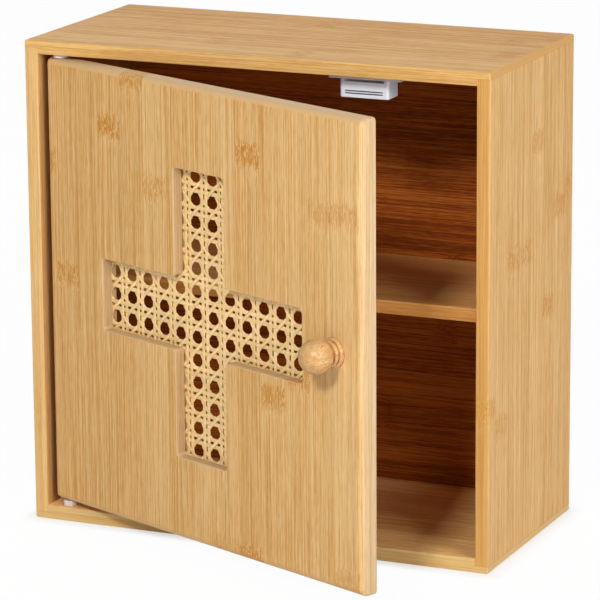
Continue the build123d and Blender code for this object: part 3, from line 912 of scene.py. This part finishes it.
def diagonal_strands(cane, rng, direction, rise):
    """The slanted strands: those that fall to the right for 1, and rise for -1."""
    strands = []
    step = Vector((cane.pitch_x, -direction * cane.pitch_z)) / 2
    run = step.normalized()
    width = 2 * abs(step.x * step.y) / step.length - (cane.hole_x + cane.hole_z) / 2
    count = int(cane.cross_span / STRAND_STEP)
    for number in DIAGONALS:
        start = cane.shift + (number + 0.5) * cane.pitch_x
        wander = rng.uniform(-WANDER, WANDER)
        points = []
        for index in range(-count, count + 1):
            distance = index * STRAND_STEP
            x = start + run.x * distance
            z = run.y * distance - DIAGONAL_DROP + wander
            if on_cross(cane, x, z):
                wave = WAVE_STEEPNESS * math.cos(math.pi * distance / step.length)
                points.append((x, z, direction * 2 * rise * max(-1, min(1, wave))))
            else:
                if len(points) > 2:
                    strands.append((points, width))
                points = []
    return strands


def weave_strands(cane):
    """Every strand of the cane, as its points of (x, z, height) and its width."""
    rng = random.Random(7)
    rise = cane.thickness / 2
    upright = Pairs(cane.pitch_x, cane.hole_x, cane.slit_x, cane.shift)
    level = Pairs(cane.pitch_z, cane.hole_z, cane.slit_z)
    strands = straight_strands(cane, rng, upright, level, rise, UPRIGHT_WANDER, UPRIGHT_LEAN)
    for points, width in straight_strands(cane, rng, level, upright, -rise, WANDER, 0.0):
        strands.append(([(x, z, height) for z, x, height in points], width))
    for direction in (-1, 1):
        strands += diagonal_strands(cane, rng, direction, rise)
    return strands


def cane_material(cane):
    """Cane with a polished face, fine streaks along each strand and duller stretches."""
    material, graph, shader = new_material("woven cane")
    place = graph.node("ShaderNodeAttribute", attribute_name="strand").outputs["Vector"]
    across, along, number = graph.split(place)
    own = graph.node("ShaderNodeTexWhiteNoise", {"W": number}, noise_dimensions="1D").outputs[0]
    seed = graph.times(own, 40.0)
    streaks = graph.noise(graph.vector(graph.times(across, 9.0), along, seed), 1.0, 3)
    stretches = graph.noise(graph.vector(0.0, graph.times(along, 3.0), seed), 1.0, 2)
    shade = 0.32
    for noise, weight in ((streaks, 0.9), (stretches, 1.3), (own, 0.35)):
        shade = graph.sway(noise, weight, shade)
    colour = graph.mix(graph.clamp(shade), cane.light, cane.shade)
    rim = graph.ramp(graph.math("ABSOLUTE", across), 0.36, 0.5, 0.0, 0.5)
    surface = {
        "Base Color": graph.mix(rim, colour, cane.shade),
        "Roughness": graph.ramp(streaks, 0.2, 0.8, 0.3, 0.5),
        "Normal": graph.relief(streaks, 0.2, 0.1 * MM),
    }
    graph.fill(shader.inputs, surface)
    return material


class CABINET_OT_cane(bpy.types.Operator):
    """Weave the cane in the cross, strand by strand"""

    bl_idname = "cabinet.cane"
    bl_label = "Woven cane"

    def execute(self, context):
        cane = context.scene.cabinet_cane
        low, high = door_corners("cane_webbing")
        shape = bmesh.new()
        layer = shape.verts.layers.float_vector.new("strand")
        for number, (points, width) in enumerate(weave_strands(cane)):
            ribbon(shape, points, width, cane.thickness, number, layer)
        bmesh.ops.recalc_face_normals(shape, faces=shape.faces)
        for face in shape.faces:
            face.smooth = True
        middle = (low + high) / 2
        middle.z = (door_low.z + door_high.z) / 2
        shape.transform(door_frame @ Matrix.Translation(middle))
        weave = add_piece("cane_weave", shape, cane_material(cane))
        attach(weave, "door")
        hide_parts("cane_webbing")
        return {"FINISHED"}


KNOB_DARK, KNOB_LIGHT, KNOB_PORES = srgb(172, 112, 50), srgb(220, 185, 130), srgb(146, 84, 34)


def knob_material():
    """Turned wood: fibres and bands along the grain, with pores as dark speckle."""
    material, graph, shader = new_material("turned wood")
    place = graph.node("ShaderNodeTexCoord").outputs["Object"]
    place = graph.split(in_door_frame(graph, place))
    fibres = graph.streaks(*place, 1300, 120, 3, 0.6)
    bands = graph.streaks(*place, 240, 20, 2)
    pores = graph.ramp(graph.streaks(*place, 1700, 420, 1), 0.58, 0.66)
    shade = graph.sway(bands, 0.8, graph.sway(fibres, 1.1, 0.55))
    colour = graph.mix(graph.clamp(shade), KNOB_DARK, KNOB_LIGHT)
    surface = {
        "Base Color": graph.mix(graph.times(pores, 0.6), colour, KNOB_PORES),
        "Roughness": graph.ramp(fibres, 0.2, 0.8, 0.36, 0.5),
        "Normal": graph.relief(fibres, 0.15, 0.1 * MM),
        "Specular IOR Level": 0.2,
        "Coat Weight": 0.24,
        "Coat Roughness": 0.3,
    }
    graph.fill(shader.inputs, surface)
    return material


class CABINET_OT_knob(bpy.types.Operator):
    """Finish the turned knob"""

    bl_idname = "cabinet.knob"
    bl_label = "Knob"

    def execute(self, context):
        finish(knob_material(), "knob")
        return {"FINISHED"}


# Greyer than white plastic: partly its own colour, partly painted shade under the top board
WHITE_PLASTIC = dict(colour=srgb(212, 215, 224), roughness=0.32, fineness=900, spread=0.03)
NYLON = dict(
    colour=srgb(214, 202, 196),
    roughness=0.4,
    fineness=700,
    spread=0.04,
    Subsurface_Weight=0.5,
    Subsurface_Radius=(2 * MM, 2 * MM, 2 * MM),
    Subsurface_Scale=1.0,
)
PLATED_STEEL = dict(
    colour=srgb(198, 198, 196), roughness=0.3, fineness=1600, spread=0.12, Metallic=1.0
)
# Near-black steel: on the pole plates it is partly painted shade of the dark slot lines in the
# catch; the brads use it as dull steel
DARK_STEEL_AND_SHADE = dict(
    colour=srgb(54, 62, 60), roughness=0.34, fineness=1600, spread=0.15, Metallic=1.0
)
FERRITE = dict(colour=srgb(30, 27, 24), roughness=0.75, fineness=2400, spread=0.2)
PEG_WOOD = dict(colour=srgb(214, 184, 136), roughness=0.6, fineness=800, spread=0.12)


class CABINET_OT_pivots(bpy.types.Operator):
    """Finish the pivot bushes and pins"""

    bl_idname = "cabinet.pivots"
    bl_label = "Pivots"

    def execute(self, context):
        nylon = speckled_material("clear white nylon", **NYLON)
        finish(nylon, "lower_pivot_bush", "upper_pivot_bush")
        pin = speckled_material("bright pin steel", **PLATED_STEEL)
        finish(pin, "lower_pivot_pin", "upper_pivot_pin")
        return {"FINISHED"}


class CABINET_OT_catch(bpy.types.Operator):
    """Finish the magnetic catch and its strike plate"""

    bl_idname = "cabinet.catch"
    bl_label = "Magnetic catch"

    def execute(self, context):
        # The catch housing's greyed white is partly painted shade
        finish(speckled_material("white plastic", **WHITE_PLASTIC), "catch_housing")
        finish(speckled_material("dark ferrite", **FERRITE), "catch_magnet")
        # The pole plates' near-black steel is partly painted shade
        pole = speckled_material("pole steel darkened with painted shade", **DARK_STEEL_AND_SHADE)
        finish(pole, "upper_pole_plate", "lower_pole_plate")
        finish(speckled_material("plated strike steel", **PLATED_STEEL), "strike_plate")
        return {"FINISHED"}


class CABINET_OT_hangers(bpy.types.Operator):
    """Finish the keyhole plates on the back"""

    bl_idname = "cabinet.hangers"
    bl_label = "Hanger plates"

    def execute(self, context):
        plate = speckled_material("plated hanger steel", **PLATED_STEEL)
        finish(plate, "left_hanger_plate", "right_hanger_plate")
        return {"FINISHED"}


def islands(node):
    """The separate solids in a CAD node, each as the places of its vertices."""
    shape = bmesh.new()
    shape.from_mesh(frame["nodes"][node].data)
    bmesh.ops.remove_doubles(shape, verts=shape.verts, dist=1e-6)
    reached = set()
    found = []
    for start in shape.verts:
        solid = []
        waiting = [start]
        while waiting:
            vertex = waiting.pop()
            if vertex not in reached:
                reached.add(vertex)
                solid.append(vertex.co.copy())
                waiting += [link.other_vert(vertex) for link in vertex.link_edges]
        if solid:
            found.append(solid)
    shape.free()
    return found


SCREW_SIDES = 28


def loop_edges(shape, ring):
    """The edges round a closed ring of vertices."""
    return [shape.edges.get(pair) for pair in zip(ring, ring[1:] + ring[:1])]


def cross_recess(shape, top, radius):
    """A cross-shaped driver recess sunk into a flat round face at height top."""
    arm, width, taper = 0.62 * radius, 0.17 * radius, 0.55
    corners = []
    for quarter in range(4):
        turn = Matrix.Rotation(quarter * math.pi / 2, 2)
        for x, y in ((arm, -width), (arm, width), (width, width)):
            corners.append(turn @ Vector((x, y)))
    bottom = top - 0.6 * radius
    rim = [shape.verts.new((*corner, top)) for corner in corners]
    floor = [shape.verts.new((*(taper * corner), bottom)) for corner in corners]
    skin(shape, (rim, floor))
    shape.faces.new(floor)
    return loop_edges(shape, rim)


def screw(shape, profile, to_place):
    """Adds a screw turned from a profile of (radius, height), with a cross recess."""
    made = bmesh.new()
    angles = [2 * math.pi * index / SCREW_SIDES for index in range(SCREW_SIDES)]
    rings = []
    for radius, height in profile:
        spots = [(radius * math.cos(a), radius * math.sin(a), height) for a in angles]
        rings.append([made.verts.new(spot) for spot in spots])
    skin(made, rings)
    made.faces.new(rings[-1])
    head_radius, top = profile[0]
    edges = cross_recess(made, top, head_radius) + loop_edges(made, rings[0])
    bmesh.ops.triangle_fill(made, edges=edges, use_beauty=True, use_dissolve=False)
    bmesh.ops.recalc_face_normals(made, faces=made.faces)
    made.transform(to_place)
    mesh = bpy.data.meshes.new("screw")
    made.to_mesh(mesh)
    made.free()
    shape.from_mesh(mesh)
    bpy.data.meshes.remove(mesh)


def screw_places(node, outward):
    """For each screw of a node: its head's middle, its length and its head's radius."""
    places = []
    for solid in islands(node):
        middle = sum(solid, Vector()) / len(solid)
        levels = [point.dot(outward) for point in solid]
        on_axis = middle + outward * (max(levels) - middle.dot(outward))
        offsets = [point - on_axis for point in solid]
        radius = max((offset - outward * offset.dot(outward)).length for offset in offsets)
        places.append((on_axis, max(levels) - min(levels), radius))
    return places


def domed_profile(radius, length):
    """The profile of a screw with a domed head."""
    shank = radius / 2
    dome = ((0.62, 0), (0.86, -0.12), (0.97, -0.32), (1, -0.6))
    head = [(share * radius, level * radius) for share, level in dome]
    return [*head, (shank, -0.6 * radius), (shank, -length + shank), (0.2 * shank, -length)]


def sunk_profile(radius, length):
    """The profile of a screw with a countersunk head."""
    shank, rim, neck = 1.5 * MM, 0.1 * MM, 1.4 * MM
    head = [(radius, 0), (radius, -rim), (shank, -neck)]
    return [*head, (shank, -length + shank), (0.2 * shank, -length)]


class CABINET_OT_fasteners(bpy.types.Operator):
    """Make the screws with their driver recesses, and finish the brads"""

    bl_idname = "cabinet.fasteners"
    bl_label = "Screws and brads"

    def execute(self, context):
        steel = speckled_material("zinc screw steel", **PLATED_STEEL)
        door_back = door_turn @ Vector((0, 1, 0))
        kinds = (
            ("catch_screws", "cabinet", Vector((0, 0, -1)), sunk_profile),
            ("hanger_screws", "cabinet", Vector((0, 1, 0)), sunk_profile),
            ("strike_screw", "door", door_back, sunk_profile),
            ("knob_screw", "door", door_back, domed_profile),
        )
        for node, body, outward, profile in kinds:
            shape = bmesh.new()
            turn = outward.to_track_quat("Z", "Y").to_matrix().to_4x4()
            for middle, length, radius in screw_places(node, outward):
                screw(shape, profile(radius, length), Matrix.Translation(middle) @ turn)
            made = add_piece(node.replace("screw", "cross_screw"), shape, steel)
            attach(made, body)
            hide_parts(node)
        brad = speckled_material("dull brad steel", **DARK_STEEL_AND_SHADE)
        finish(brad, "back_brads", "retainer_brads")
        return {"FINISHED"}


class CABINET_OT_pegs(bpy.types.Operator):
    """Finish the glued pegs inside the joints"""

    bl_idname = "cabinet.pegs"
    bl_label = "Pegs"

    def execute(self, context):
        peg = speckled_material("peg wood", **PEG_WOOD)
        finish(peg, "carcass_dowels", "shelf_dowels")
        return {"FINISHED"}


FLOOR_WHITE, FLOOR_CLOUD = srgb(250, 250, 250), srgb(247, 247, 247)
FLOOR_RADIUS = 14.0
CONTACT_WIDTH = 12 * MM  # width round the case over which the floor's glow is lessened; there the rendered shadow shows more, and the floor also greys a little as painted contact shade
CONTACT_GLOW = 0.6  # share of that glow at the foot of the case


def floor_material(glow):
    """White floor that the object's shadow dims a little, and more at its foot, where a band of
    lessened glow adds a little painted contact shade.
    """
    material, graph, shader = new_material("pale floor")
    place = graph.node("ShaderNodeTexCoord").outputs["Object"]
    shade = graph.mix(graph.noise(place, 1.5, 1), FLOOR_WHITE, FLOOR_CLOUD)
    surface = {"Base Color": shade, "Roughness": 0.9, "Specular IOR Level": 0.1}
    graph.fill(shader.inputs, surface)
    white = graph.node("ShaderNodeEmission", {"Color": (1, 1, 1, 1), "Strength": 1.0})
    past = []
    for part, edge in zip(graph.split(place)[:2], cad_box[1]):
        from_middle = graph.math("ABSOLUTE", part)
        past.append(graph.largest(graph.math("SUBTRACT", from_middle, edge), 0.0))
    sockets = {0: graph.vector(*past, 0.0)}
    away = graph.node("ShaderNodeVectorMath", sockets, operation="LENGTH").outputs["Value"]
    clear = graph.ramp(away, 0.0, CONTACT_WIDTH, CONTACT_GLOW * glow, glow)
    share = graph.times(graph.seen_white(), clear)
    sockets = {0: share, 1: shader.outputs[0], 2: white.outputs[0]}
    mixed = graph.node("ShaderNodeMixShader", sockets).outputs[0]
    output = material.node_tree.get_output_node("ALL")
    graph.fill(output.inputs, {"Surface": mixed})
    return material


# Each lamp's name, place, side in metres and power in watts
LAMPS = (
    ("key lamp", (0.25, -2.2, 1.6), 0.4, 38),
    ("right lamp", (2.3, -1.3, 1.0), 1.2, 44),
    ("front lamp", (1.5, -2.2, 0.9), 1.2, 5),
    ("back lamp", (-0.9, 1.3, 2.0), 1.3, 17),
)
CASE_MIDDLE = Vector((0, 0, 0.16))


def soft_lamp(name, place, size, power):
    """A square soft lamp, turned to the middle of the case."""
    lamp = bpy.data.lights.new(name, "AREA")
    lamp.shape = "SQUARE"
    lamp.size = size
    lamp.energy = power
    holder = add_object(name, lamp)
    holder.location = place
    holder.rotation_euler = (CASE_MIDDLE - Vector(place)).to_track_quat("-Z", "Y").to_euler()


def studio_world(ambient):
    """Even light from all around, and white where the camera, gloss or glass sees it."""
    world = bpy.data.worlds.new("studio")
    bpy.context.scene.world = world
    world.use_nodes = True
    world.node_tree.nodes.clear()
    graph = Graph(world.node_tree)
    strength = graph.math("MULTIPLY_ADD", graph.seen_white(), 1.0 - ambient, ambient)
    sky = graph.node("ShaderNodeBackground", {"Color": (1, 1, 1, 1), "Strength": strength})
    graph.node("ShaderNodeOutputWorld", {"Surface": sky.outputs[0]})


class CABINET_OT_stage(bpy.types.Operator):
    """Set up the floor, the lamps and the camera"""

    bl_idname = "cabinet.stage"
    bl_label = "Stage"

    def execute(self, context):
        stage = context.scene.cabinet_stage
        shape = bmesh.new()
        bmesh.ops.create_circle(shape, cap_ends=True, segments=64, radius=FLOOR_RADIUS)
        shape.transform(Matrix.Translation((0, 0, -0.1 * MM)))
        floor = add_piece("floor", shape, floor_material(stage.floor_glow))

        for lamp in LAMPS:
            soft_lamp(*lamp)
        studio_world(stage.ambient)

        camera = bpy.data.cameras.new("camera")
        camera.sensor_width = 36
        camera.lens = stage.lens
        camera.clip_start = 0.1
        camera.clip_end = 60
        holder = add_object("camera", camera)
        holder.location = stage.camera_place
        holder.rotation_euler = stage.camera_turn
        context.scene.camera = holder
        context.scene.view_settings.view_transform = "Standard"
        return {"FINISHED"}


class CABINET_PT_panel(bpy.types.Panel):
    """Lists the cabinet's settings and steps"""

    bl_idname = "CABINET_PT_panel"
    bl_label = "Medicine cabinet"
    bl_space_type = "VIEW_3D"
    bl_region_type = "UI"
    bl_category = "Cabinet"

    def draw(self, context):
        for group in SETTINGS:
            box = self.layout.box()
            settings = getattr(context.scene, group)
            for name in settings.bl_rna.properties.keys():
                if name not in ("rna_type", "name"):
                    box.prop(settings, name)
        for step in STEPS:
            self.layout.operator(step.bl_idname)


SETTINGS = {
    "cabinet_bamboo": CabinetBamboo,
    "cabinet_cane": CabinetCane,
    "cabinet_stage": CabinetStage,
}
STEPS = (
    CABINET_OT_carcass,
    CABINET_OT_door,
    CABINET_OT_cane,
    CABINET_OT_knob,
    CABINET_OT_pivots,
    CABINET_OT_catch,
    CABINET_OT_hangers,
    CABINET_OT_fasteners,
    CABINET_OT_pegs,
    CABINET_OT_stage,
)


def register():
    """Registers the classes and hangs the settings on the scene."""
    for made in (*SETTINGS.values(), *STEPS, CABINET_PT_panel):
        bpy.utils.register_class(made)
    for name, settings in SETTINGS.items():
        setattr(bpy.types.Scene, name, PointerProperty(type=settings))


def unregister():
    """Takes the settings off the scene and unregisters the classes."""
    for name in SETTINGS:
        delattr(bpy.types.Scene, name)
    for made in (CABINET_PT_panel, *reversed(STEPS), *SETTINGS.values()):
        bpy.utils.unregister_class(made)


def main():
    """Runs every step in order."""
    register()
    for step in STEPS:
        module, name = step.bl_idname.split(".")
        getattr(getattr(bpy.ops, module), name)()


if __name__ == "__main__":
    main()
